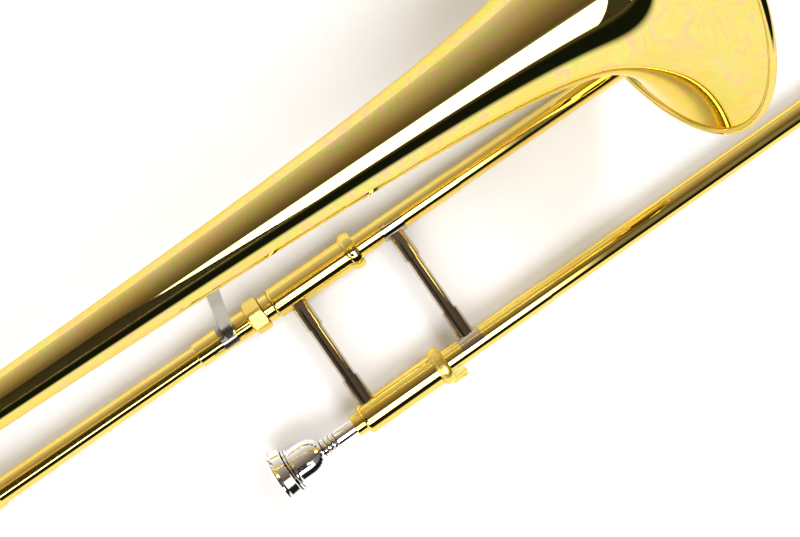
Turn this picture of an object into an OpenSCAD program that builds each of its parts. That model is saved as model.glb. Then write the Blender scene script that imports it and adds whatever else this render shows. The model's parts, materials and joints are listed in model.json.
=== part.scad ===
// Straight tenor slide trombone, lying on its side with the hand slide closed.
// X runs forwards along the slide, Z points from the slide towards the bell.
// The origin is the centre of the mouthpiece rim, on the axis of the mouthpiece-side tube.

/* [Layout] */
// Distance between the two hand-slide tubes
slide_spacing = 90; // [80:1:100]
// Distance from the neck tube's axis to the bell's axis
bell_distance = 113; // [112:1:125]
// Angle of the bell above the slide's plane, seen along the slide
bell_lean = 74; // [65:1:90]
// Bell mouth, ahead of the mouthpiece rim
bell_mouth_x = 318; // [300:1:340]
// Start of the hand slide's end bow
slide_bow_x = 815; // [760:1:840]
// Start of the tuning bow, behind the mouthpiece rim
tuning_bow_x = -217; // [-240:1:-205]

/* [Bell] */
// Outer radius of the bell mouth with its rolled edge
bell_mouth_r = 102; // [95:0.5:104]
// Radius of the rolled edge
bell_bead_r = 2.0; // [1.5:0.1:2.6]
// Wall of the bell
bell_wall = 0.7; // [0.5:0.1:1.2]
// How quickly the flare opens near the mouth
flare_length = 16.5; // [15:0.5:18]
// Power of the flare's curve
flare_power = 0.597; // [0.58:0.001:0.61]

/* [Slide tubes] */
// Bore of the inner slide tubes
bore_d = 12.7; // [12:0.1:12.9]
// Outer diameter of the inner slide tubes
inner_tube_d = 13.2; // [13:0.1:13.3]
// Outer diameter of the outer slide tubes
outer_tube_d = 14.2; // [14.1:0.1:14.8]
// Outer diameter of the cork barrels
barrel_d = 19.8; // [19:0.1:21]
// Stroke of the hand slide
slide_stroke = 575; // [500:5:580]

/* [Mouthpiece] */
// Outer diameter of the mouthpiece rim
rim_d = 38.6; // [37:0.1:40]
// Inner diameter of the mouthpiece rim
rim_bore_d = 25.4; // [24:0.1:26.5]
// Part of the mouthpiece that stands out of the receiver
mouthpiece_reach = 55.5; // [52:0.5:60]

/* [Hidden] */
$fn = 64;

brass = [0.83, 0.64, 0.25];
nickel = [0.62, 0.60, 0.56];
silver = [0.86, 0.86, 0.87];
cork_tan = [0.72, 0.52, 0.33];

neck_y = slide_spacing;
bell_y = neck_y + bell_distance * cos(bell_lean);
bell_z = bell_distance * sin(bell_lean);
bore_r = bore_d / 2;
inner_r = inner_tube_d / 2;
outer_r = outer_tube_d / 2;
barrel_r = barrel_d / 2;
cut = 1;                      // extra length of a tool that cuts right through
gap = 0.03;                   // running clearance between mating surfaces

// Stations along the slide
ferrule_x = [2, 46];          // neck ferrule
nut_x = [40.2, 49.8];         // lock nut
tenon_x = [14.5, 56.3];       // plug that joins the hand slide to the neck
barrel_neck_x = [56.3, 119];
barrel_mouth_x = [62, 123];
receiver_x = [mouthpiece_reach, mouthpiece_reach + 24.5];
inner_brace_x = 70;
outer_brace_x = 144;
outer_start_x = 100;          // open end of the outer tubes, slide closed
sleeve_neck_end_x = 193.5;
sleeve_mouth_end_x = 201;
outer_end_x = slide_bow_x - 10;
inner_end_x = slide_bow_x - 15;  // end of the inner tubes
stocking_x = outer_start_x + slide_stroke + 15;
bell_brace_x = 24;
bell_brace_lean = 10;             // degrees from square to the tubes, towards the mouth
flare_joint_x = 168;          // seam between the spun flare and the stem
stem_end_x = -146;            // back of the stem and of the neck pipe
sleeve_end_x = tuning_bow_x + 12;
leg_front_x = -147;           // front end of the tuning slide's inner legs
rear_stay_x = -176;

// Radii
barrel_wall = 0.6;
ring_r = barrel_r + 2.5;
sleeve_wall = 0.4;
outer_sleeve_r = outer_r + sleeve_wall;
tube_wall = 0.5;
neck_pipe_r = [7.6, 6.66];    // outside, at the tuning end and at the ferrule
leg_neck_r = 7.2;             // outside of the tuning slide's inner legs
leg_bell_r = 9.3;
sleeve_neck_r = leg_neck_r + gap + tube_wall;
sleeve_bell_r = leg_bell_r + gap + tube_wall;

// A tube along X: outer radius, inner radius, first and last station
module tube_x(r_out, r_in, x0, x1) {
    translate([x0, 0, 0]) rotate([0, 90, 0]) difference() {
        cylinder(r = r_out, h = x1 - x0);
        translate([0, 0, -cut]) cylinder(r = r_in, h = x1 - x0 + 2 * cut);
    }
}

// A rod along X
module rod_x(r, x0, x1) {
    translate([x0, 0, 0]) rotate([0, 90, 0]) cylinder(r = r, h = x1 - x0);
}

// A body of revolution about the X axis; the outline's points are [station, radius]
module turned_x(outline) {
    rotate([90, 0, 90]) rotate_extrude() polygon([for (p = outline) [p[1], p[0]]]);
}

module on_neck() { translate([0, neck_y, 0]) children(); }
module on_bell() { translate([0, bell_y, bell_z]) children(); }
// Local Y points from the neck's axis to the bell's axis
module towards_bell() { on_neck() rotate([bell_lean, 0, 0]) children(); }

// ---------- bell section ----------

// Outer radius of the bell at a distance behind its mouth: a stem, a flare and a splayed rim
bell_stem_r = 3.9;
bell_taper = 0.0057;
rim_splay = 24.7;       // what the last turn outwards adds at the rim
splay_length = 20;
splay_power = 1.7;
rim_inset = 0.6;        // the flare ends this far behind the bead's middle, inside the bead
function bell_r(u) = let (
    back = u - bell_bead_r,
    flare = bell_mouth_r - bell_bead_r - bell_stem_r - rim_splay
) bell_stem_r - bell_taper * back + flare * pow(1 + back / flare_length, -flare_power)
    + rim_splay * exp(-pow(back / splay_length, splay_power));
function bell_outline(near, far, steps, ease) = [
    for (i = [0:steps]) let (u = near + (far - near) * pow(i / steps, ease)) [bell_mouth_x - u, bell_r(u)]
];
// The wall's inner outline, flush with the outer one where two pieces of the bell meet
function inside_of(outside, flush) = let (last = len(outside) - 1) [for (i = [last:-1:0]) let (
    along = outside[min(i + 1, last)] - outside[max(i - 1, 0)]
) flush || i == last ? outside[i] - [0, bell_wall]
    : outside[i] + bell_wall / norm(along) * [-along[1], along[0]]];
module bell_shell(outside, flush) {
    color(brass) on_bell() turned_x(concat(outside, inside_of(outside, flush)));
}

function stem_outline() = bell_outline(bell_mouth_x - flare_joint_x, bell_mouth_x - stem_end_x, stem_steps, 1);
stem_steps = 20;

bead_x = bell_mouth_x - bell_bead_r;

module bell_flare() {
    difference() {
        bell_shell(bell_outline(bell_bead_r + rim_inset, bell_mouth_x - flare_joint_x, 44, 1.7), flush = false);
        on_bell() bead_ring(bell_bead_r);
    }
}

module bell_stem() { bell_shell(stem_outline(), flush = true); }

module bead_ring(r) {
    translate([bead_x, 0, 0]) rotate([0, 90, 0]) rotate_extrude($fn = 128)
        translate([bell_mouth_r - bell_bead_r, 0]) circle(r = r, $fn = 24);
}
module bell_rim_bead() { color(brass) on_bell() bead_ring(bell_bead_r); }

module neck_pipe() {
    front_x = ferrule_x[0] + 10;
    color(brass) on_neck() turned_x([
        [stem_end_x, neck_pipe_r[0]], [front_x, neck_pipe_r[1]],
        [front_x, neck_pipe_r[1] - tube_wall], [stem_end_x, neck_pipe_r[0] - tube_wall]
    ]);
}

// The sleeve that takes the hand slide's tapered tenon, threaded at its front for the nut
ferrule_back_r = 7.9;
thread_r = 8.3;
thread_x0 = ferrule_x[1] - 7;
ferrule_taper_x = [ferrule_x[0] + 0.5, thread_x0];
module neck_ferrule() {
    pitch = 1.0;
    turns = 6;
    groove = 0.35;
    pipe_seat = neck_pipe_r[1] + 0.09;
    pipe_stop_x = ferrule_x[0] + 10.5;
    bore_step_x = tenon_x[0] - 0.5;
    thread = [for (i = [0:turns - 1], k = [0, 1])
        [thread_x0 + 0.6 + (i + k * 0.5) * pitch, thread_r - (1 - k) * groove]];
    color(brass) on_neck() turned_x(concat(
        [[ferrule_x[0], ferrule_back_r - 0.3], [ferrule_taper_x[0], ferrule_back_r], [thread_x0, thread_r]],
        thread,
        [[ferrule_x[1], thread_r - groove], [ferrule_x[1], tenon_r(ferrule_x[1]) + gap],
         [bore_step_x, tenon_r(tenon_x[0]) + gap], [bore_step_x, bore_r],
         [pipe_stop_x, bore_r], [pipe_stop_x, pipe_seat], [ferrule_x[0], pipe_seat]]
    ));
}

// Flat cast stay between the neck ferrule and the bell stem, with a saddle foot at each end
module bell_brace() {
    width = 7.4;
    depth = 4.2;
    foot_l = 9.6;
    foot_t = 1.3;
    foot_span = 17;
    shoulder_h = 4;
    near_r = (ferrule_back_r + thread_r) / 2;
    far_x = bell_brace_x + bell_distance * tan(bell_brace_lean);
    far_r = bell_r(bell_mouth_x - far_x);
    length = bell_distance / cos(bell_brace_lean);
    color(nickel) difference() {
        union() {
            towards_bell() translate([bell_brace_x, 0, 0]) rotate([0, 0, -bell_brace_lean]) {
                translate([-width / 2, 0, -depth / 2]) cube([width, length, depth]);
                rotate([-90, 0, 0]) {
                    cylinder(r = foot_l / 2, h = near_r + shoulder_h);
                    translate([0, 0, length - far_r - shoulder_h])
                        cylinder(r = foot_l / 2, h = far_r + shoulder_h);
                }
            }
            intersection() {
                on_neck() rod_x(near_r + foot_t, bell_brace_x - foot_l / 2, bell_brace_x + foot_l / 2);
                towards_bell() translate([bell_brace_x, bell_distance / 4 + 3, 0])
                    cube([foot_l, bell_distance / 2, foot_span], center = true);
            }
            intersection() {
                on_bell() rod_x(far_r + foot_t, far_x - foot_l / 2, far_x + foot_l / 2);
                towards_bell() translate([far_x, bell_distance * 3 / 4 - 3, 0])
                    cube([foot_l, bell_distance / 2, foot_span], center = true);
            }
        }
        on_neck() turned_x([[ferrule_taper_x[0], 0], [ferrule_taper_x[0], ferrule_back_r],
            [thread_x0, thread_r], [thread_x0, 0]]);
        on_bell() turned_x(concat(stem_outline(), [[stem_end_x, 0], [flare_joint_x, 0]]));
    }
}

// Round stay between two tubes, with a flange at each end; the tubes' own radii are cut away
module round_stay(x, r_rod, flange_r, flange_h, near_r, far_r) {
    difference() {
        towards_bell() translate([x, 0, 0]) rotate([-90, 0, 0]) {
            cylinder(r = r_rod, h = bell_distance);
            cylinder(r = flange_r, h = near_r + flange_h);
            translate([0, 0, bell_distance - far_r - flange_h]) cylinder(r = flange_r, h = far_r + flange_h);
        }
        on_neck() rod_x(near_r, x - 20, x + 20);
        on_bell() rod_x(far_r, x - 20, x + 20);
    }
}
module rear_stay() {
    color(nickel) round_stay(rear_stay_x, r_rod = 3.6, flange_r = 5.6, flange_h = 6,
        near_r = sleeve_neck_r, far_r = sleeve_bell_r);
}

module tuning_sleeve_neck() {
    color(brass) on_neck() tube_x(sleeve_neck_r, leg_neck_r + gap, sleeve_end_x, stem_end_x);
}
module tuning_sleeve_bell() {
    color(brass) on_bell() tube_x(sleeve_bell_r, leg_bell_r + gap, sleeve_end_x, stem_end_x);
}

// Rings over the joints at the front of the two tuning sleeves
function joint_ring(sleeve_r, pipe_r, top_r) = [
    [stem_end_x - 9, sleeve_r], [stem_end_x - 8, top_r], [stem_end_x + 5, top_r],
    [stem_end_x + 6, pipe_r], [stem_end_x, pipe_r], [stem_end_x, sleeve_r]
];
module tuning_sleeve_rings() {
    fit = 0.01;
    stem_r = bell_r(bell_mouth_x - stem_end_x - 6) + fit;
    color(brass) {
        on_neck() turned_x(joint_ring(sleeve_neck_r, neck_pipe_r[0] + fit, sleeve_neck_r + 0.9));
        on_bell() turned_x(joint_ring(sleeve_bell_r, stem_r, sleeve_bell_r + 1.6));
    }
}

// ---------- tuning slide ----------

bow_bend_r = bell_distance / 2;
bow_sides = 24;
bow_rings = 18;
bow_skin = bow_sides * (bow_rings + 1);     // points on one skin of the bow
// Outer radius of the bow: it grows from the neck leg to the bell leg
function bow_tube_r(i) = leg_neck_r + 0.4 + (leg_bell_r - leg_neck_r) * i / bow_rings;
function bow_ring(i, r) = [for (k = [0:bow_sides - 1]) let (
    phi = 180 * i / bow_rings, th = 360 * k / bow_sides, arm = bow_bend_r + r * cos(th)
) [tuning_bow_x - arm * sin(phi), bow_bend_r - arm * cos(phi), r * sin(th)]];
// The quad between points a and b and the two points that lie a step further on
function bow_quad(a, b, step, flip) = flip ? [a, b, b + step, a + step] : [a, a + step, b + step, b];
module tuning_bow() {
    points = [for (shrink = [0, tube_wall], i = [0:bow_rings]) each bow_ring(i, bow_tube_r(i) - shrink)];
    skins = [for (skin = [0, 1], i = [0:bow_rings - 1], k = [0:bow_sides - 1]) let (
        ring = skin * bow_skin + i * bow_sides
    ) bow_quad(ring + k, ring + (k + 1) % bow_sides, bow_sides, skin == 1)];
    rims = [for (end = [0, 1], k = [0:bow_sides - 1]) let (
        ring = end * bow_rings * bow_sides
    ) bow_quad(ring + k, ring + (k + 1) % bow_sides, bow_skin, end == 0)];
    color(brass) towards_bell() polyhedron(points = points, faces = concat(skins, rims), convexity = 6);
}

module tuning_leg_neck() {
    color(nickel) on_neck() tube_x(leg_neck_r, leg_neck_r - tube_wall, tuning_bow_x, leg_front_x);
}
module tuning_leg_bell() {
    color(nickel) on_bell() tube_x(leg_bell_r, leg_bell_r - tube_wall, tuning_bow_x, leg_front_x);
}
bow_ferrule_h = 0.6;            // how far the ferrules stand above the sleeves
function ferrule_outline(r_in, r_out) = [
    [tuning_bow_x, r_in], [tuning_bow_x, r_out - 0.5], [tuning_bow_x + 0.8, r_out],
    [sleeve_end_x - 1.2, r_out], [sleeve_end_x, r_out - 0.6], [sleeve_end_x, r_in]
];
module tuning_bow_ferrules() {
    color(brass) {
        on_neck() turned_x(ferrule_outline(leg_neck_r, sleeve_neck_r + bow_ferrule_h));
        on_bell() turned_x(ferrule_outline(leg_bell_r, sleeve_bell_r + bow_ferrule_h));
    }
}
module tuning_bow_stay() {
    stay_x = (tuning_bow_x + sleeve_end_x) / 2;
    color(nickel) round_stay(stay_x, r_rod = 3.2, flange_r = 4.6, flange_h = 5,
        near_r = sleeve_neck_r + bow_ferrule_h, far_r = sleeve_bell_r + bow_ferrule_h);
}

// ---------- inner hand slide ----------

// The tenon's taper fits the taper in the neck ferrule
function tenon_r(x) = 6.9 + 0.25 * (x - tenon_x[0]) / (ferrule_x[1] - tenon_x[0]);
collar_r = 8.6;
shoulder_r = 8.15;
tenon_neck_r = 7.6;
module slide_tenon() {
    color(brass) on_neck() turned_x([
        [tenon_x[0], bore_r], [tenon_x[0], tenon_r(tenon_x[0])],
        [ferrule_x[1] + 0.1, tenon_r(ferrule_x[1])], [ferrule_x[1] + 0.1, shoulder_r],
        [nut_x[1] - 2.2, shoulder_r], [nut_x[1] - 2.2, tenon_neck_r],
        [nut_x[1] + 0.15, tenon_neck_r], [nut_x[1] + 0.15, collar_r - 0.4], [nut_x[1] + 0.6, collar_r],
        [tenon_x[1], collar_r], [tenon_x[1], bore_r]
    ]);
}

// A cork barrel: closed round a centre hole at the back, open at the front
module cork_barrel(x0, x1, hole_r) {
    shoulder = 2.4;
    wall_back = 2.0;
    round_off = [for (a = [0:15:90]) [x0 + shoulder * (1 - sin(a)), barrel_r - shoulder * (1 - cos(a))]];
    turned_x(concat(
        [[x0, hole_r]], [for (i = [len(round_off) - 1:-1:0]) round_off[i]],
        [[x1, barrel_r], [x1, barrel_r - barrel_wall], [x0 + wall_back, barrel_r - barrel_wall],
         [x0 + wall_back, hole_r]]
    ));
}
module cork_barrel_neck() {
    color(brass) on_neck() cork_barrel(barrel_neck_x[0], barrel_neck_x[1] - 1, inner_r);
}
module cork_barrel_mouthpiece() {
    color(brass) cork_barrel(barrel_mouth_x[0], barrel_mouth_x[1] - 1, receiver_r);
}

// Rounded ring round a barrel's open end, with a thin step behind it
function ring_outline(x0, x1, r_in, lip_r, lip) = concat(
    [[x0, r_in], [x0, barrel_r + 0.7], [x0 + 0.9, barrel_r + 0.9]],
    [for (a = [160:-20:20]) [(x0 + x1 + 0.9) / 2 + (x1 - x0 - 0.9) / 2 * cos(a), ring_r - 1.5 + 1.5 * sin(a)]],
    [[x1, barrel_r + 0.6], [x1, lip_r], [x1 - lip, lip_r], [x1 - lip, r_in]]
);
module barrel_ring() {
    color(brass) on_neck() turned_x(ring_outline(
        barrel_neck_x[1] - 8.5, barrel_neck_x[1], barrel_r, barrel_r - barrel_wall - 0.6, 1));
}

receiver_r = 7.0;
function shank_r(x) = 5.30 - 0.30 * (x - mouthpiece_reach) / 24;
module mouthpiece_receiver() {
    color(brass) turned_x([
        [receiver_x[0], shank_r(receiver_x[0]) + gap], [receiver_x[0], receiver_r - 0.3],
        [receiver_x[0] + 0.3, receiver_r], [receiver_x[1], receiver_r], [receiver_x[1], inner_r],
        [receiver_x[1] - 0.2, inner_r], [receiver_x[1] - 0.2, shank_r(receiver_x[1]) + gap]
    ]);
}

// Tapered venturi tube inside the mouthpiece-side inner tube
module leadpipe() {
    length = 190;
    color(brass) turned_x([
        [receiver_x[1], bore_r - 0.02], [receiver_x[1] + length, bore_r - 0.02],
        [receiver_x[1] + length, bore_r - 0.3], [receiver_x[1] + 40, 5.1], [receiver_x[1], 5.3]
    ]);
}

socket_l = 16.5;
socket_floor = 4;               // solid foot below the brace tube's end
brace_wall = 0.6;
// Hollow brace across the two tubes, its ends seated in the sockets
module brace_tube(x, r, inset) {
    translate([x, inset, 0]) rotate([-90, 0, 0]) difference() {
        cylinder(r = r, h = slide_spacing - 2 * inset);
        translate([0, 0, -cut]) cylinder(r = r - brace_wall, h = slide_spacing);
    }
}
inner_brace_r = 4.7;
module inner_brace_tube() {
    color(nickel) brace_tube(inner_brace_x, inner_brace_r, barrel_r + socket_floor);
}
// One brace socket standing on a tube at y = 0, opening towards +Y
module brace_socket(x, tube_r, length, r_out, r_in) {
    difference() {
        translate([x, 0, 0]) rotate([-90, 0, 0]) cylinder(r = r_out, h = tube_r + length);
        translate([x, tube_r + socket_floor, 0]) rotate([-90, 0, 0]) cylinder(r = r_in, h = length + cut);
        rod_x(tube_r, x - 20, x + 20);
    }
}
module both_sides(x) {
    children();
    on_neck() rotate([0, 0, 180]) translate([-2 * x, 0, 0]) children();
}
module inner_brace_sockets() {
    color(nickel) both_sides(inner_brace_x)
        brace_socket(inner_brace_x, barrel_r, socket_l, inner_brace_r + 0.9, inner_brace_r + gap);
}

module inner_tube_neck() {
    color(silver) on_neck() tube_x(inner_r, bore_r, barrel_neck_x[0], inner_end_x);
}
module inner_tube_mouthpiece() {
    color(silver) tube_x(inner_r, bore_r, receiver_x[1], inner_end_x);
}
outer_bore_r = outer_r - 0.35;  // inner wall of the outer tubes
module slide_stockings() {
    stocking_r = outer_bore_r - 0.05;
    color(silver) {
        tube_x(stocking_r, inner_r, stocking_x, inner_end_x);
        on_neck() tube_x(stocking_r, inner_r, stocking_x, inner_end_x);
    }
}
module bumper_corks() {
    cork_x = [outer_start_x - 12.5, outer_start_x - 0.5];
    color(cork_tan) {
        tube_x(barrel_r - barrel_wall, inner_r, cork_x[0], cork_x[1]);
        on_neck() tube_x(barrel_r - barrel_wall, inner_r, cork_x[0], cork_x[1]);
    }
}

// ---------- lock nut and slide lock ----------

nut_flats = 20.6;
nut_corner_r = 11.3;
nut_turn = 19;                  // angle of a corner from +Y
module lock_nut() {
    cavity_x = nut_x[1] - 2.1;
    chamfer = 0.9;
    color(brass) on_neck() difference() {
        intersection() {
            translate([nut_x[0], 0, 0]) rotate([nut_turn, 0, 0]) rotate([90, 0, 90])
                cylinder(r = nut_flats / sqrt(3), h = nut_x[1] - nut_x[0], $fn = 6);
            turned_x([
                [nut_x[0], 0], [nut_x[0], nut_corner_r - chamfer], [nut_x[0] + chamfer, nut_corner_r],
                [nut_x[1] - chamfer, nut_corner_r], [nut_x[1], nut_corner_r - chamfer], [nut_x[1], 0]
            ]);
        }
        rod_x(thread_r + 0.05, nut_x[0] - cut, cavity_x);
        rod_x(tenon_neck_r + 0.05, cavity_x - cut, nut_x[1] + cut);
    }
}

lock_x = [barrel_mouth_x[1] - 7, barrel_mouth_x[1] + 1];
pin_r = 1.6;
pin_reach_r = barrel_r - 1;
module slide_lock_ring() {
    lip = 0.8;
    lip_r = outer_sleeve_r + 0.6;
    slot = 2 * pin_r + 1;
    tab_x = [lock_x[1] - 3, lock_x[1] + 8.2];
    tab_y = [-14.0, -8.2];
    tab_t = 2.4;
    corner = 2;
    color(brass) difference() {
        union() {
            turned_x(ring_outline(lock_x[0], lock_x[1], barrel_r + gap, lip_r, lip));
            difference() {
                union() {
                    translate([tab_x[0], tab_y[0], -tab_t / 2])
                        cube([tab_x[1] - tab_x[0] - corner, tab_y[1] - tab_y[0], tab_t]);
                    translate([tab_x[0], tab_y[0] + corner, -tab_t / 2])
                        cube([tab_x[1] - tab_x[0], tab_y[1] - tab_y[0] - corner, tab_t]);
                    translate([tab_x[1] - corner, tab_y[0] + corner, -tab_t / 2])
                        cylinder(r = corner, h = tab_t);
                }
                rod_x(barrel_r + 1, lock_x[0] - cut, lock_x[1] - 0.4);
            }
        }
        // Slot that lets the lock pin through while the slide is unlocked
        translate([lock_x[1] - 2, -slot / 2, -pin_reach_r - 0.4]) cube([4, slot, pin_reach_r]);
    }
}

// ---------- outer hand slide ----------

module outer_tube_neck() {
    color(brass) on_neck() tube_x(outer_r, outer_bore_r, outer_start_x, outer_end_x);
}
module outer_tube_mouthpiece() {
    color(brass) tube_x(outer_r, outer_bore_r, outer_start_x, outer_end_x);
}
module outer_sleeves() {
    color(brass) {
        tube_x(outer_sleeve_r, outer_r, outer_start_x, sleeve_mouth_end_x);
        on_neck() tube_x(outer_sleeve_r, outer_r, outer_start_x, sleeve_neck_end_x);
    }
}
outer_brace_r = 4.5;
module outer_brace_tube() {
    color(nickel) brace_tube(outer_brace_x, outer_brace_r, outer_sleeve_r + socket_floor + 1);
}
// Each saddle wraps the half of its sleeve that faces the brace
module outer_brace_saddles() {
    saddle_l = 15;
    saddle_t = 0.9;
    wrap = 1.5;                 // how far the saddle reaches past the sleeve's middle
    outer_socket_l = 18;
    color(nickel) both_sides(outer_brace_x) difference() {
        union() {
            translate([outer_brace_x, 0, 0]) rotate([-90, 0, 0])
                cylinder(r = outer_brace_r + 1, h = outer_sleeve_r + outer_socket_l);
            intersection() {
                rod_x(outer_sleeve_r + saddle_t, outer_brace_x - saddle_l / 2, outer_brace_x + saddle_l / 2);
                translate([outer_brace_x - saddle_l, -wrap, -20]) cube([2 * saddle_l, 20, 40]);
            }
        }
        translate([outer_brace_x, outer_sleeve_r + socket_floor + 1, 0]) rotate([-90, 0, 0])
            cylinder(r = outer_brace_r + gap, h = slide_spacing);
        rod_x(outer_sleeve_r, outer_brace_x - saddle_l, outer_brace_x + saddle_l);
    }
}

hand_bow_r = slide_spacing / 2;
hand_bow_wall = 0.5;
module slide_bow() {
    color(brass) {
        translate([slide_bow_x, hand_bow_r, 0]) rotate([0, 0, -90]) rotate_extrude(angle = 180)
            translate([hand_bow_r, 0]) difference() {
                circle(r = outer_r);
                circle(r = outer_r - hand_bow_wall);
            }
        tube_x(outer_r, outer_r - hand_bow_wall, outer_end_x, slide_bow_x);
        on_neck() tube_x(outer_r, outer_r - hand_bow_wall, outer_end_x, slide_bow_x);
    }
}
bow_ferrule_r = outer_r + 0.8;
module slide_bow_ferrules() {
    outline = [[slide_bow_x - 22, outer_r], [slide_bow_x - 21.4, bow_ferrule_r],
        [slide_bow_x - 1, bow_ferrule_r], [slide_bow_x, outer_r + 0.4], [slide_bow_x, outer_r]];
    color(nickel) {
        turned_x(outline);
        on_neck() turned_x(outline);
    }
}
// Small pin on the mouthpiece-side sleeve that the lock ring catches
module lock_pin() {
    color(nickel) difference() {
        translate([lock_x[1] - 3.4, 0, -pin_reach_r]) cylinder(r = pin_r, h = pin_reach_r - outer_r);
        rod_x(outer_sleeve_r, lock_x[0] - 10, lock_x[1] + 10);
    }
}

// Boss on the middle of the bow, with the rubber tip that the slide stands on
boss_x = slide_bow_x + hand_bow_r + outer_r;
boss_face_x = boss_x + 5;
plug_x = boss_x + 1.5;          // bottom of the hole for the rubber's plug
plug_r = 2.5;
module bumper_socket() {
    color(nickel) translate([0, hand_bow_r, 0]) difference() {
        turned_x([[boss_x - 6, 0], [boss_x - 6, 6.4], [boss_x + 1, 6.4], [boss_x + 2, 5.6],
            [boss_face_x, 5.6], [boss_face_x, plug_r], [plug_x, plug_r], [plug_x, 0]]);
        translate([slide_bow_x, 0, 0]) rotate_extrude() translate([hand_bow_r, 0]) circle(r = outer_r);
    }
}
module rubber_bumper() {
    tip_x = boss_x + 13;
    rubber_r = 6.2;
    round_off = 1.5;
    color([0.08, 0.08, 0.08]) translate([0, hand_bow_r, 0]) turned_x([
        [plug_x, 0], [plug_x, plug_r], [boss_face_x, plug_r], [boss_face_x, rubber_r],
        [tip_x - round_off, rubber_r], [tip_x, rubber_r - round_off], [tip_x, 0]
    ]);
}

// ---------- water key ----------
// Local frame at a point of the bow: X tangent to the bow, Y outwards, Z across the slide's plane
key_angle = 38;
key_pivot = [14, 14.5];
nipple_r = 3.2;
nipple_h = 12;
ear_t = 1.6;
ear_gap = 6.4;
ear_r = 2.2;
screw_r = 1.1;
module at_water_key() {
    translate([slide_bow_x, hand_bow_r, 0]) rotate([0, 0, -90 - key_angle])
        translate([0, hand_bow_r, 0]) children();
}
// A hole or rod across the slide's plane through the lever's pivot
module pivot_rod(r, length) {
    translate([key_pivot[0], key_pivot[1], 0]) cylinder(r = r, h = length, center = true);
}
module water_key_saddle() {
    drain_r = 1.9;
    color(nickel) difference() {
        at_water_key() union() {
            rotate([-90, 0, 0]) cylinder(r = nipple_r, h = nipple_h);
            for (side = [-1, 1]) translate([key_pivot[0], 0, side * (ear_gap + ear_t) / 2]) hull() {
                translate([0, key_pivot[1], 0]) cylinder(r = ear_r, h = ear_t, center = true, $fn = 32);
                translate([0, 3, 0]) cube([8, 2, ear_t], center = true);
            }
        }
        translate([slide_bow_x, hand_bow_r, 0]) rotate_extrude() translate([hand_bow_r, 0]) circle(r = outer_r);
        at_water_key() rotate([-90, 0, 0]) cylinder(r = drain_r, h = 2 * nipple_h);
        at_water_key() pivot_rod(screw_r, 40);
    }
}
module water_key_lever() {
    width = 5.6;
    arm_t = 2.6;
    touch = [key_pivot[0] + 15, 8.5];
    color(nickel) at_water_key() difference() {
        union() {
            translate([0, nipple_h + 2.2, 0]) rotate([-90, 0, 0]) cylinder(r = 4.6, h = arm_t);
            hull() {
                translate([0, 15.6, 0]) cube([4, 2, width], center = true);
                translate([key_pivot[0], 16, 0]) cube([2, arm_t, width], center = true);
            }
            pivot_rod(arm_t, width);
            hull() {
                translate([key_pivot[0], 15.4, 0]) cube([2, arm_t, width], center = true);
                translate([touch[0], touch[1], 0]) cube([3, 1.8, width + 1], center = true);
            }
            translate([touch[0] + 4, touch[1] - 1.6, 0]) rotate([0, 0, -22]) rotate([-90, 0, 0])
                translate([0, 0, -1]) cylinder(r = 6, h = 2);
        }
        pivot_rod(screw_r + gap, 40);
    }
}
module water_key_cork() {
    color(cork_tan) at_water_key() translate([0, nipple_h, 0]) rotate([-90, 0, 0]) cylinder(r = 4, h = 2.2);
}
module water_key_screw() {
    color(nickel) at_water_key() {
        pivot_rod(screw_r, ear_gap + 2 * ear_t);
        translate([key_pivot[0], key_pivot[1], ear_gap / 2 + ear_t]) cylinder(r = 2, h = 1.2);
    }
}
// Bent wire under the lever, from the nipple to a leg that stands on the bow
module water_key_spring() {
    wire_r = 0.4;
    wire_y = 10.9;
    wire_x = [nipple_r, key_pivot[0] + 2];
    foot_y = 4.7;
    color(silver) at_water_key() {
        translate([wire_x[0], wire_y, 0]) rotate([0, 90, 0]) cylinder(r = wire_r, h = wire_x[1] - wire_x[0]);
        translate([wire_x[1], foot_y, 0]) rotate([-90, 0, 0]) cylinder(r = wire_r, h = wire_y - foot_y);
        translate([wire_x[1], wire_y, 0]) sphere(r = wire_r, $fn = 24);
    }
}

// ---------- mouthpiece ----------

// One rounded turned bead on the outline, from [x, r] in the direction of growing x
function bead(x, width, r_valley, r_top) = [
    for (a = [180:-30:0]) [x + width / 2 + width / 2 * cos(a), r_valley + (r_top - r_valley) * sin(a)]
];
module mouthpiece() {
    rim_r = rim_d / 2;
    rim_in = rim_bore_d / 2;
    tip_x = mouthpiece_reach + 23.5;
    throat_r = 3.3;
    rim_mid = (rim_r + rim_in) / 2;
    rim_crown = [for (a = [0:22.5:180]) [2.2 - 2.2 * sin(a), rim_mid - (rim_r - rim_in) / 2 * cos(a)]];
    bowl = [for (a = [0:10:80]) [20 + 12 * sin(a), 4.4 + 7.9 * cos(a)]];
    cup = [for (a = [0:10:90]) [3 + 21 * sin(a), throat_r + (rim_in - throat_r) * pow(cos(a), 0.8)]];
    color(silver) turned_x(concat(
        rim_crown,
        [[3.0, rim_r - 0.6], [3.4, 17.4], [8.8, 16.4], [9.2, 15.9], [9.2, 13.4]],
        bead(9.4, 1.6, 13.2, 14.0), bead(11.2, 1.6, 12.9, 13.6), [[13.2, 12.3]],
        bowl, [[32.2, 4.8]],
        bead(32.2, 3.0, 4.9, 5.9), bead(35.4, 3.0, 4.9, 5.9), bead(38.6, 3.0, 4.9, 5.9),
        [[42.4, 5.5], [mouthpiece_reach, shank_r(mouthpiece_reach)], [tip_x, shank_r(tip_x)],
         [tip_x, 4.4], [34, throat_r]],
        [for (i = [len(cup) - 1:-1:0]) cup[i]]
    ));
}

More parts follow.
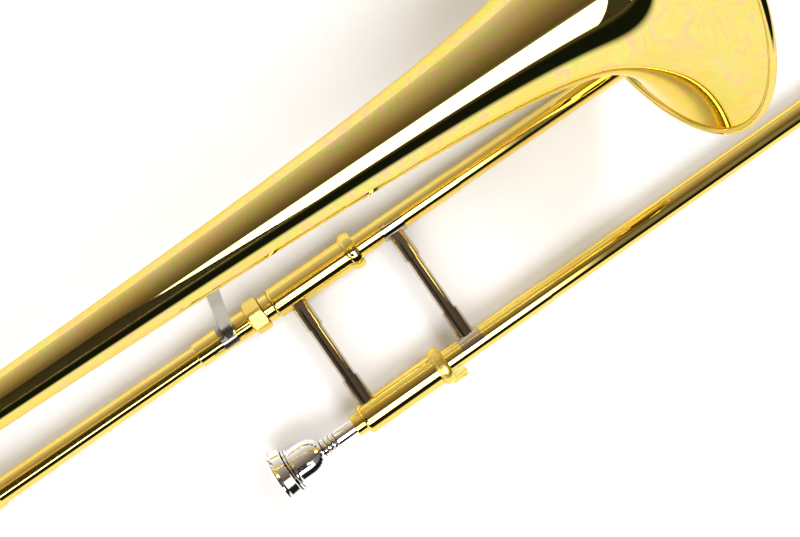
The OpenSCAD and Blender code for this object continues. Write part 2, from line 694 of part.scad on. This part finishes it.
bell_flare();
bell_stem();
bell_rim_bead();
neck_pipe();
neck_ferrule();
bell_brace();
rear_stay();
tuning_sleeve_neck();
tuning_sleeve_bell();
tuning_sleeve_rings();
tuning_bow();
tuning_leg_neck();
tuning_leg_bell();
tuning_bow_ferrules();
tuning_bow_stay();
slide_tenon();
cork_barrel_neck();
cork_barrel_mouthpiece();
barrel_ring();
mouthpiece_receiver();
leadpipe();
inner_brace_tube();
inner_brace_sockets();
inner_tube_neck();
inner_tube_mouthpiece();
slide_stockings();
bumper_corks();
lock_nut();
slide_lock_ring();
outer_tube_neck();
outer_tube_mouthpiece();
outer_sleeves();
outer_brace_tube();
outer_brace_saddles();
slide_bow();
slide_bow_ferrules();
lock_pin();
bumper_socket();
rubber_bumper();
water_key_saddle();
water_key_lever();
water_key_cork();
water_key_screw();
water_key_spring();
mouthpiece();
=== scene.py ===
"""A straight tenor trombone lying on a pale floor: finishes, floor, studio light and camera."""
import json
import math

import bpy
from mathutils import Euler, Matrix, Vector


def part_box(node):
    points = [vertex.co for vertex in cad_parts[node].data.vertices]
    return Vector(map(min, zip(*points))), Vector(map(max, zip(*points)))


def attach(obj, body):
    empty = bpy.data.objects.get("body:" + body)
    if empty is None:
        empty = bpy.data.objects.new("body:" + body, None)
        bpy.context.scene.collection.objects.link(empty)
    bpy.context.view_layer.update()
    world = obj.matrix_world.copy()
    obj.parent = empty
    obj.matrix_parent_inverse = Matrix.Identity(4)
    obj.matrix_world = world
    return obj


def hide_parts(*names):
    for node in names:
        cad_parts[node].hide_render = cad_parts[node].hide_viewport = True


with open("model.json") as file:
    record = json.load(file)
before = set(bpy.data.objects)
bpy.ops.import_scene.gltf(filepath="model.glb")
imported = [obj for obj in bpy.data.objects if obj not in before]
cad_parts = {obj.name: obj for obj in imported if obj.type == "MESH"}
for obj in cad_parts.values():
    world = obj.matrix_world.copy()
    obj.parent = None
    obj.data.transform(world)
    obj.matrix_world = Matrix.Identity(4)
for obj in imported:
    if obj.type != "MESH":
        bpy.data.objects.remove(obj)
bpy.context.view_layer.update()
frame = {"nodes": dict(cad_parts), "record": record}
MM = 0.001


# ---------------------------------------------------------------- places read from the frame

def pipe(node):
    """Centre line (y, z), outer radius and x range of a node that is a straight pipe along X."""
    low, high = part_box(node)
    centre = ((low[1] + high[1]) / 2, (low[2] + high[2]) / 2)
    return centre, (high[2] - low[2]) / 2, (low[0], high[0])


NECK_AXIS, LEG_NECK_R, LEG_NECK_X = pipe("tuning_leg_neck")
BELL_AXIS, LEG_BELL_R, LEG_BELL_X = pipe("tuning_leg_bell")


# ---------------------------------------------------------------- camera

CAMERA_PLACE = (0.0862, 0.0570, 0.6038)   # almost straight above the lock nut
CAMERA_TURN = (3.089, -3.326, -34.801)    # degrees about X, Y and Z
CAMERA_LENS = 44.0                        # millimetres
CAMERA_SENSOR = 36.0
CAMERA_NEAR = 0.01                        # metres


def add_camera():
    data = bpy.data.cameras.new("camera")
    data.lens = CAMERA_LENS
    data.sensor_width = CAMERA_SENSOR
    data.clip_start = CAMERA_NEAR
    camera = bpy.data.objects.new("camera", data)
    camera.location = CAMERA_PLACE
    camera.rotation_euler = Euler([math.radians(turn) for turn in CAMERA_TURN], "XYZ")
    bpy.context.collection.objects.link(camera)
    bpy.context.scene.camera = camera


# ---------------------------------------------------------------- node helpers

EVEN = (1.0, 1.0, 1.0)            # texture scales: the same along every axis
ALONG_X = (6.0, 420.0, 420.0)     # long marks along a tube
ALONG_BRACE = (420.0, 6.0, 420.0)


class Shader:
    """Adds nodes to one material or world tree; an input may be a value or another node's output."""

    def __init__(self, tree):
        self.tree = tree
        tree.nodes.clear()

    def add(self, kind, inputs=None, **settings):
        node = self.tree.nodes.new(kind)
        for name, value in settings.items():
            setattr(node, name, value)
        for name, value in (inputs or {}).items():
            self.feed(node.inputs[name], value)
        return node

    def feed(self, socket, value):
        if isinstance(value, bpy.types.NodeSocket):
            self.tree.links.new(value, socket)
        elif isinstance(value, tuple) and len(value) == 3 and socket.type == "RGBA":
            socket.default_value = (*value, 1.0)
        else:
            socket.default_value = value

    def math(self, operation, a, b=0.0):
        return self.add("ShaderNodeMath", {0: a, 1: b}, operation=operation).outputs[0]

    def remap(self, value, low, high, to_low=0.0, to_high=1.0, smooth=False):
        kind = "SMOOTHSTEP" if smooth else "LINEAR"
        return self.add("ShaderNodeMapRange", {
            "Value": value, "From Min": low, "From Max": high, "To Min": to_low, "To Max": to_high,
        }, interpolation_type=kind).outputs["Result"]

    def mix(self, factor, a, b):
        node = self.add("ShaderNodeMix", {"Factor": factor}, data_type="RGBA")
        self.feed(node.inputs[6], a)
        self.feed(node.inputs[7], b)
        return node.outputs[2]

    def noise(self, vector, scale, detail=2.0, roughness=0.5, distortion=0.0):
        return self.add("ShaderNodeTexNoise", {
            "Vector": vector, "Scale": scale, "Detail": detail, "Roughness": roughness,
            "Distortion": distortion,
        }).outputs["Fac"]

    def stretched(self, factors=EVEN):
        """The piece's own coordinates, scaled unevenly where a texture runs along one axis."""
        own = self.add("ShaderNodeTexCoord").outputs["Object"]
        return self.add("ShaderNodeMapping", {"Vector": own, "Scale": factors}).outputs["Vector"]

    def bump(self, height, distance, normal=None):
        inputs = {"Height": height, "Distance": distance, "Strength": 1.0}
        if normal is not None:
            inputs["Normal"] = normal
        return self.add("ShaderNodeBump", inputs).outputs["Normal"]


def new_material(name):
    material = bpy.data.materials.new(name)
    material.use_nodes = True
    return material, Shader(material.node_tree)


def finish_material(shader, surface):
    shader.add("ShaderNodeOutputMaterial", {"Surface": surface.outputs[0]})


# ---------------------------------------------------------------- metals

# Each metal's clean colour, and where it matters its tarnished or deeper one
GOLD, GOLD_DEEP = (0.90, 0.71, 0.19), (0.88, 0.55, 0.10)
BELL_GOLD = (0.76, 0.66, 0.20)
NICKEL, NICKEL_DULL = (0.58, 0.51, 0.41), (0.42, 0.34, 0.24)
# Painted shade: a darker copy of the nickel for the bell brace alone, standing in for the darker reflections
# it shows
SHADED_NICKEL, SHADED_NICKEL_DULL = (0.37, 0.36, 0.31), (0.26, 0.24, 0.19)
SILVER, SILVER_DULL = (0.95, 0.94, 0.94), (0.86, 0.82, 0.76)
CHROME, CHROME_DULL = (0.72, 0.73, 0.74), (0.62, 0.62, 0.62)
STEEL, STEEL_DULL = (0.52, 0.51, 0.50), (0.36, 0.33, 0.30)
GOLD_EDGE = (0.97, 0.80, 0.34)    # what lacquered gold turns to at a glancing angle
WHITE_EDGE = (1.0, 1.0, 1.0)
GRIME_AND_SHADE = (0.10, 0.055, 0.015)      # grime in corners and seams, together with painted shade there
# Grime and painted shade: corners and seams found by ambient occlusion are darkened in the base colour
GRIME_AND_SHADE_REACH = 0.9 * MM
GRIME_AND_SHADE_MOST = 0.85
SWIRL_PINK = (0.84, 0.54, 0.30)
SWIRL_GREEN = (0.62, 0.67, 0.15)
SWIRL_BANDS = 60.0                # bands over the whole range of the noise under them
SWIRL_TINT = 0.75
SWELL_HEIGHT = 0.04 * MM          # slow ripple of a hand-finished wall
WIPE_HEIGHT = 0.0016 * MM
WIPE_WEAR = 0.5                   # share by which wiping marks change the roughness
LACQUER_COAT = 0.12


def lacquer_swirls(shader, colour):
    """Faint pink and green bands, where a thin lacquer coat runs thicker and thinner."""
    even = shader.stretched()
    depth = shader.noise(even, 14.0, detail=2.0, distortion=2.2)
    bands = shader.math("SINE", shader.math("MULTIPLY", depth, SWIRL_BANDS))
    pink = shader.math("MULTIPLY", shader.remap(bands, 0.2, 1.0), SWIRL_TINT)
    green = shader.math("MULTIPLY", shader.remap(bands, -0.2, -1.0), SWIRL_TINT)
    tinted = shader.mix(pink, colour, SWIRL_PINK)
    return shader.mix(green, tinted, SWIRL_GREEN)


def polished_metal(name, colour, tarnish, roughness, streaks=ALONG_X,
                   edge=WHITE_EDGE, lacquer=0.0, ripple=0.4, swirls=False):
    """Mirror metal: wiping marks, soft ripple, tarnished patches and specks, and grime with painted shade in
    corners.
    """
    material, shader = new_material(name)
    even = shader.stretched()
    along = shader.stretched(streaks)
    patches = shader.noise(even, 38.0, detail=3.0, distortion=0.6)
    wiping = shader.noise(along, 6.0, detail=4.0, roughness=0.7)
    specks = shader.remap(shader.noise(even, 900.0, detail=1.0), 0.72, 0.80)
    dull = shader.math("MULTIPLY", shader.remap(patches, 0.35, 0.75), 0.55)
    stain = shader.math("MAXIMUM", dull, shader.math("MULTIPLY", specks, 0.35))
    fresh = lacquer_swirls(shader, colour) if swirls else colour
    clean = shader.mix(stain, fresh, tarnish)
    # Painted shade with grime: ambient occlusion darkens the base colour in corners and seams
    occluded_corner = shader.add("ShaderNodeAmbientOcclusion", {"Distance": GRIME_AND_SHADE_REACH}, samples=6).outputs["AO"]
    base = shader.mix(shader.remap(occluded_corner, 0.75, 0.35, 0.0, GRIME_AND_SHADE_MOST), clean, GRIME_AND_SHADE)
    worn = shader.remap(wiping, 0.3, 0.75, roughness * (1.0 - WIPE_WEAR), roughness * (1.0 + WIPE_WEAR))
    rough = shader.math("ADD", worn, shader.math("MULTIPLY", dull, roughness * 0.8))
    swell = shader.bump(shader.noise(even, 55.0, detail=1.0), SWELL_HEIGHT * ripple)
    lines = shader.bump(wiping, WIPE_HEIGHT, normal=swell)
    surface = shader.add("ShaderNodeBsdfPrincipled", {
        "Base Color": base, "Metallic": 1.0, "Roughness": rough, "Normal": lines,
        "Specular Tint": edge, "Coat Weight": lacquer, "Coat Roughness": 0.03, "Coat Normal": swell,
    })
    finish_material(shader, surface)
    return material


def gold_lacquer(name, roughness, colour=GOLD, swirls=False):
    return polished_metal(name, colour, GOLD_DEEP, roughness,
                          edge=GOLD_EDGE, lacquer=LACQUER_COAT, swirls=swirls)


# ---------------------------------------------------------------- cork and rubber

CORK, CORK_DARK = (0.56, 0.36, 0.19), (0.30, 0.17, 0.08)
RUBBER, RUBBER_DUST = (0.016, 0.015, 0.014), (0.06, 0.057, 0.052)


def cork(name):
    material, shader = new_material(name)
    even = shader.stretched()
    cells = shader.add("ShaderNodeTexVoronoi", {"Vector": even, "Scale": 900.0}).outputs["Distance"]
    cloud = shader.noise(even, 300.0, detail=4.0)
    base = shader.mix(shader.remap(cloud, 0.35, 0.7), CORK, CORK_DARK)
    surface = shader.add("ShaderNodeBsdfPrincipled", {
        "Base Color": base, "Roughness": shader.remap(cells, 0.0, 0.6, 0.75, 0.95),
        "Normal": shader.bump(cells, 0.0004),
    })
    finish_material(shader, surface)
    return material


def rubber(name):
    material, shader = new_material(name)
    even = shader.stretched()
    grain = shader.noise(even, 1800.0, detail=3.0)
    dust = shader.remap(shader.noise(even, 90.0, detail=4.0), 0.45, 0.8)
    base = shader.mix(dust, RUBBER, RUBBER_DUST)
    surface = shader.add("ShaderNodeBsdfPrincipled", {
        "Base Color": base, "Roughness": shader.remap(dust, 0.0, 1.0, 0.45, 0.75),
        "Normal": shader.bump(grain, 0.00008),
    })
    finish_material(shader, surface)
    return material


# ---------------------------------------------------------------- finishes by material slot

def slot_finishes():
    """One finish for each of the record's material slots."""
    return {
        "gold_brass": gold_lacquer("gold_lacquer", 0.045),
        "bell_brass": gold_lacquer("bell_lacquer", 0.03, BELL_GOLD, swirls=True),
        "lock_brass": gold_lacquer("satin_brass", 0.30),
        "nickel_silver": polished_metal("nickel_silver", NICKEL, NICKEL_DULL, 0.055, ALONG_BRACE, ripple=0.5),
        "silver_plate": polished_metal("silver_plate", SILVER, SILVER_DULL, 0.05),
        "chrome_tube": polished_metal("chrome_tube", CHROME, CHROME_DULL, 0.06),
        "spring_steel": polished_metal("spring_steel", STEEL, STEEL_DULL, 0.18),
        "cork": cork("natural_cork"),
        "black_rubber": rubber("black_rubber"),
    }


def dress_nodes():
    """Every CAD node gets its slot's finish; the bell brace gets a rougher, darker copy of the nickel, the
    darker colour being painted shade.
    """
    finishes = slot_finishes()
    # Painted shade: the bell brace's nickel is darker than the other braces' and rougher
    shaded_brace = polished_metal("shaded_nickel", SHADED_NICKEL, SHADED_NICKEL_DULL, 0.14, ALONG_BRACE)
    for subpart in frame["record"]["subparts"]:
        node = frame["nodes"].get(subpart["node"])
        finish = shaded_brace if subpart["node"] == "bell_brace" else finishes[subpart["material_slot"]]
        for slot in node.material_slots:
            slot.material = finish


# ---------------------------------------------------------------- smooth pieces over faceted nodes

SHARP_EDGE = 40.0                 # degrees


def smooth_piece(name, points, faces, material, node, body):
    """A smooth mesh that hides one CAD node and rides on its body."""
    mesh = bpy.data.meshes.new(name)
    mesh.from_pydata(points, [], faces)
    mesh.materials.append(material)
    mesh.shade_smooth()
    mesh.set_sharp_from_angle(angle=math.radians(SHARP_EDGE))
    piece = bpy.data.objects.new(name, mesh)
    bpy.context.collection.objects.link(piece)
    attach(piece, body)
    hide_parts(node)


def circle_angles(count):
    return [2 * math.pi * k / count for k in range(count)]


# ---------------------------------------------------------------- tuning bow

BOW_RINGS = 96
BOW_SIDES = 64
BOW_WALL = 0.5 * MM
BOW_OVER_LEG = 0.4 * MM


def tuning_bow(material):
    """The bow of the tuning slide: a half turn from the neck leg to the bell leg, widening evenly."""
    neck, bell = Vector((0, *NECK_AXIS)), Vector((0, *BELL_AXIS))
    across = (bell - neck).normalized()
    aside = Vector((1, 0, 0)).cross(across)
    bend = (bell - neck).length / 2
    centre = (neck + bell) / 2 + Vector((LEG_NECK_X[0], 0, 0))

    def ring(share, skin):
        turn = math.pi * share
        tube = BOW_OVER_LEG + LEG_NECK_R + (LEG_BELL_R - LEG_NECK_R) * share - skin * BOW_WALL
        out = Vector((-math.sin(turn), 0, 0)) - across * math.cos(turn)
        middle = centre + out * bend
        return [middle + out * tube * math.cos(a) + aside * tube * math.sin(a)
                for a in circle_angles(BOW_SIDES)]

    points = [p for skin in (0, 1) for i in range(BOW_RINGS + 1) for p in ring(i / BOW_RINGS, skin)]
    rows = BOW_RINGS + 1
    faces = []
    for k in range(BOW_SIDES):
        following = (k + 1) % BOW_SIDES
        for skin in (0, 1):
            for i in range(BOW_RINGS):
                row = (skin * rows + i) * BOW_SIDES
                quad = [row + k, row + following, row + BOW_SIDES + following, row + BOW_SIDES + k]
                faces.append(quad if skin == 0 else quad[::-1])
        for row in (0, BOW_RINGS * BOW_SIDES):
            outer, inner = row, row + rows * BOW_SIDES
            quad = [outer + k, inner + k, inner + following, outer + following]
            faces.append(quad if row == 0 else quad[::-1])
    smooth_piece("tuning_bow_smooth", points, faces, material, "tuning_bow", "tuning_slide")


# ---------------------------------------------------------------- bell

BELL_SIDES = 256
BELL_WALL = 0.7 * MM
BELL_STEM = 3.9 * MM           # the law of the bell: stem radius and taper, then the flare
BELL_TAPER = 0.0057
FLARE_LENGTH = 16.5 * MM
FLARE_POWER = 0.597
SPLAY = 24.7 * MM              # what the last turn outwards adds at the rim
SPLAY_LENGTH = 20.0 * MM
SPLAY_POWER = 1.7
RIM_INSET = 0.6 * MM           # the flare ends this far behind the bead's middle, inside the bead
FLARE_STEPS, FLARE_EASE = 160, 1.6     # rings along the flare, closer together at the rim
STEM_STEPS = 120


def lathe(outline, axis, sides):
    """Points and faces of a closed outline of (x, radius) points turned about an axis along X."""
    points = [(x, axis[0] + r * math.cos(a), axis[1] + r * math.sin(a))
              for x, r in outline for a in circle_angles(sides)]
    faces = []
    for i in range(len(outline)):
        row, following_row = i * sides, (i + 1) % len(outline) * sides
        for k in range(sides):
            following = (k + 1) % sides
            faces.append((row + k, row + following, following_row + following, following_row + k))
    return points, faces


def inside_of(outside, wall):
    """The wall's inner outline: a wall's thickness inside, and flush at its last point."""
    inner = []
    last = len(outside) - 1
    for i, (x, r) in enumerate(outside):
        ahead, behind = outside[min(i + 1, last)], outside[max(i - 1, 0)]
        along = Vector((ahead[0] - behind[0], ahead[1] - behind[1])).normalized()
        inner.append((x, r - wall) if i == last else (x - along.y * wall, r + along.x * wall))
    return inner[::-1]


def smooth_bell(material):
    """The stem and flare of the bell as smooth spun shells, on the same law as the CAD bell."""
    bead_low, bead_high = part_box("bell_rim_bead")
    bead_r = (bead_high.x - bead_low.x) / 2
    bead_x = (bead_low.x + bead_high.x) / 2
    bead_ring_r = (bead_high.y - bead_low.y) / 2 - bead_r
    seam_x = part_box("bell_flare")[0].x
    back_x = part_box("bell_stem")[0].x

    def radius(back):
        """Outer radius at a distance behind the bead's middle."""
        flare = (1 + back / FLARE_LENGTH) ** -FLARE_POWER
        splay = math.exp(-(back / SPLAY_LENGTH) ** SPLAY_POWER)
        return BELL_STEM - BELL_TAPER * back + (bead_ring_r - BELL_STEM - SPLAY) * flare + SPLAY * splay

    def run(near, far, steps, ease):
        spans = (near + (far - near) * (i / steps) ** ease for i in range(steps + 1))
        return [(bead_x - back, radius(back)) for back in spans]

    shells = {
        "bell_flare": run(RIM_INSET, bead_x - seam_x, FLARE_STEPS, FLARE_EASE),
        "bell_stem": run(bead_x - seam_x, bead_x - back_x, STEM_STEPS, 1.0),
    }
    for node, outside in shells.items():
        points, faces = lathe(outside + inside_of(outside, BELL_WALL), BELL_AXIS, BELL_SIDES)
        smooth_piece(node + "_smooth", points, faces, material, node, "bell_section")


# ---------------------------------------------------------------- floor

FLOOR_HALF = 4.0
FLOOR_GAP = 0.2 * MM
PAPER, PAPER_GREY = (0.61, 0.615, 0.63), (0.55, 0.56, 0.575)


def floor_paper():
    material, shader = new_material("floor_paper")
    even = shader.stretched()
    cloud = shader.noise(even, 5.0, detail=3.0)
    grain = shader.noise(even, 700.0, detail=3.0)
    base = shader.mix(shader.remap(cloud, 0.35, 0.7), PAPER, PAPER_GREY)
    surface = shader.add("ShaderNodeBsdfPrincipled", {
        "Base Color": base, "Roughness": 0.9, "Specular IOR Level": 0.2,
        "Normal": shader.bump(grain, 0.0001),
    })
    finish_material(shader, surface)
    return material


def add_floor():
    """A pale floor through the lowest points of the mouthpiece, the neck's barrel ring and the slide bow."""
    def lowest(node, share):
        """The lowest point of a node, at a share of its length."""
        low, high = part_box(node)
        return Vector((low[0] + (high[0] - low[0]) * share, (low[1] + high[1]) / 2, low[2]))

    rim, ring, bow = lowest("mouthpiece", 0.04), lowest("barrel_ring", 0.5), lowest("slide_bow", 0.85)
    up = (ring - bow).cross(rim - bow).normalized()
    if up.z < 0:
        up = -up
    mesh = bpy.data.meshes.new("floor")
    corners = [(-FLOOR_HALF, -FLOOR_HALF, 0), (FLOOR_HALF, -FLOOR_HALF, 0),
               (FLOOR_HALF, FLOOR_HALF, 0), (-FLOOR_HALF, FLOOR_HALF, 0)]
    mesh.from_pydata(corners, [], [(0, 1, 2, 3)])
    mesh.materials.append(floor_paper())
    floor = bpy.data.objects.new("floor", mesh)
    floor.rotation_mode = "QUATERNION"
    floor.rotation_quaternion = up.to_track_quat("Z", "Y")
    floor.location = (rim + ring + bow) / 3 - up * FLOOR_GAP
    bpy.context.collection.objects.link(floor)


# ---------------------------------------------------------------- light

# The room round the tubes' axis: degrees from straight up, positive towards -Y, and brightness.
# The bell and tubes mirror it, so it sets where their bright and dark bands lie.
SKY = (
    (-180, (1.30, 1.30, 1.30)),
    (-104, (1.30, 1.30, 1.28)),
    (-100, (0.80, 0.78, 0.74)),
    (-96, (1.70, 1.68, 1.62)),
    (-89, (1.45, 1.42, 1.36)),
    (-85, (0.90, 0.88, 0.86)),
    (-60, (0.60, 0.57, 0.52)),
    (-35, (0.42, 0.36, 0.29)),
    (-15, (0.25, 0.195, 0.145)),
    (8, (0.12, 0.090, 0.062)),
    (14, (0.24, 0.24, 0.25)),
    (42, (0.22, 0.22, 0.22)),
    (50, (0.09, 0.075, 0.06)),
    (56, (0.008, 0.010, 0.009)),
    (80, (0.008, 0.013, 0.011)),
    (87, (0.90, 0.90, 0.88)),
    (92, (1.30, 1.30, 1.30)),
    (180, (1.30, 1.30, 1.30)),
)
WINDOW_LIGHT = (8.2, 8.25, 8.4)
WINDOW_SIDE = (14.0, 46.0)     # degrees from straight up, towards -Y
WINDOW_ALONG = (-66.0, 11.0)   # degrees towards +X
FAR_END = (15.0, 75.0)         # degrees towards +X over which the room falls off
FAR_SHADE = 0.38
FILL_LIGHT = (1.90, 1.66, 1.42)   # a warm part of the room that only lights matt surfaces
FILL_SHARE = 0.5
BACKDROP = (0.92, 0.92, 0.92)  # what the camera sees past the floor
KEY_FROM = (0.62, 0.10, 1.00)
KEY_ENERGY = 1.6
KEY_SPREAD = 22.0              # degrees
FLAG_CLOTH, FLAG_CLOTH_WORN = (0.006, 0.007, 0.006), (0.016, 0.016, 0.014)
FLAG_HEIGHT = 0.56
# Corners (x, y) of the flag
FLAG_CORNERS = ((-0.11, 0.10), (0.09, -0.35), (-0.60, -0.35), (-0.60, 0.10))


def angle_box(shader, value, limits, edge):
    rise = shader.remap(value, limits[0] - edge, limits[0] + edge, smooth=True)
    fall = shader.remap(value, limits[1] + edge, limits[1] - edge, smooth=True)
    return shader.math("MULTIPLY", rise, fall)


def sky_ramp(shader, side):
    node = shader.add("ShaderNodeValToRGB", {"Fac": shader.remap(side, -180.0, 180.0)})
    stops = node.color_ramp.elements
    stops.remove(stops[1])
    for index, (angle, colour) in enumerate(SKY):
        place = (angle + 180.0) / 360.0
        stop = stops[0] if index == 0 else stops.new(place)
        stop.position = place
        stop.color = (*colour, 1.0)
    return node.outputs["Color"]


def add_studio():
    """Light by direction: a long bright window, a dark wall under it, a dimmer room and a warm fill."""
    world = bpy.data.worlds.new("studio")
    bpy.context.scene.world = world
    world.use_nodes = True
    shader = Shader(world.node_tree)
    way = shader.add("ShaderNodeTexCoord").outputs["Generated"]
    parts = shader.add("ShaderNodeSeparateXYZ", {"Vector": way}).outputs
    across = shader.math("MULTIPLY", parts["Y"], -1.0)
    side = shader.math("DEGREES", shader.math("ARCTAN2", across, parts["Z"]))
    along = shader.math("DEGREES", shader.math("ARCSINE", parts["X"]))
    window = shader.math("MULTIPLY", angle_box(shader, side, WINDOW_SIDE, 1.5),
                         angle_box(shader, along, WINDOW_ALONG, 4.0))
    far_end = shader.remap(along, *FAR_END, 0.0, FAR_SHADE, smooth=True)
    room = shader.mix(far_end, sky_ramp(shader, side), (0.0, 0.0, 0.0))
    lit = shader.mix(window, room, WINDOW_LIGHT)
    seen = shader.add("ShaderNodeLightPath").outputs["Is Camera Ray"]
    matt = shader.add("ShaderNodeLightPath").outputs["Is Diffuse Ray"]
    filled = shader.mix(shader.math("MULTIPLY", matt, FILL_SHARE), lit, FILL_LIGHT)
    colour = shader.mix(seen, filled, BACKDROP)
    background = shader.add("ShaderNodeBackground", {"Color": colour, "Strength": 1.0})
    shader.add("ShaderNodeOutputWorld", {"Surface": background.outputs[0]})


def add_key_light():
    """A large soft light from above the bell's mouth, which isn't mirrored: it thins the shadows."""
    lamp = bpy.data.lights.new("key_light", type="SUN")
    lamp.energy = KEY_ENERGY
    lamp.angle = math.radians(KEY_SPREAD)
    key = bpy.data.objects.new("key_light", lamp)
    key.rotation_mode = "QUATERNION"
    key.rotation_quaternion = Vector(KEY_FROM).to_track_quat("Z", "Y")
    key.visible_glossy = False
    bpy.context.collection.objects.link(key)


def add_flag():
    """A dark cloth over the bell's stem, which only mirror reflections show."""
    material, shader = new_material("flag_cloth")
    weave = shader.noise(shader.stretched(), 300.0, detail=3.0)
    colour = shader.mix(weave, FLAG_CLOTH, FLAG_CLOTH_WORN)
    cloth = shader.add("ShaderNodeBsdfPrincipled", {"Base Color": colour, "Roughness": 1.0})
    finish_material(shader, cloth)
    mesh = bpy.data.meshes.new("flag")
    mesh.from_pydata([(x, y, FLAG_HEIGHT) for x, y in FLAG_CORNERS], [], [(0, 1, 2, 3)])
    mesh.materials.append(material)
    flag = bpy.data.objects.new("flag", mesh)
    flag.visible_camera = False
    flag.visible_diffuse = False
    flag.visible_shadow = False
    bpy.context.collection.objects.link(flag)


def main():
    bpy.context.scene.view_settings.view_transform = "Standard"
    add_camera()
    dress_nodes()
    tuning_bow(bpy.data.materials["gold_lacquer"])
    smooth_bell(bpy.data.materials["bell_lacquer"])
    add_floor()
    add_studio()
    add_key_light()
    add_flag()


main()
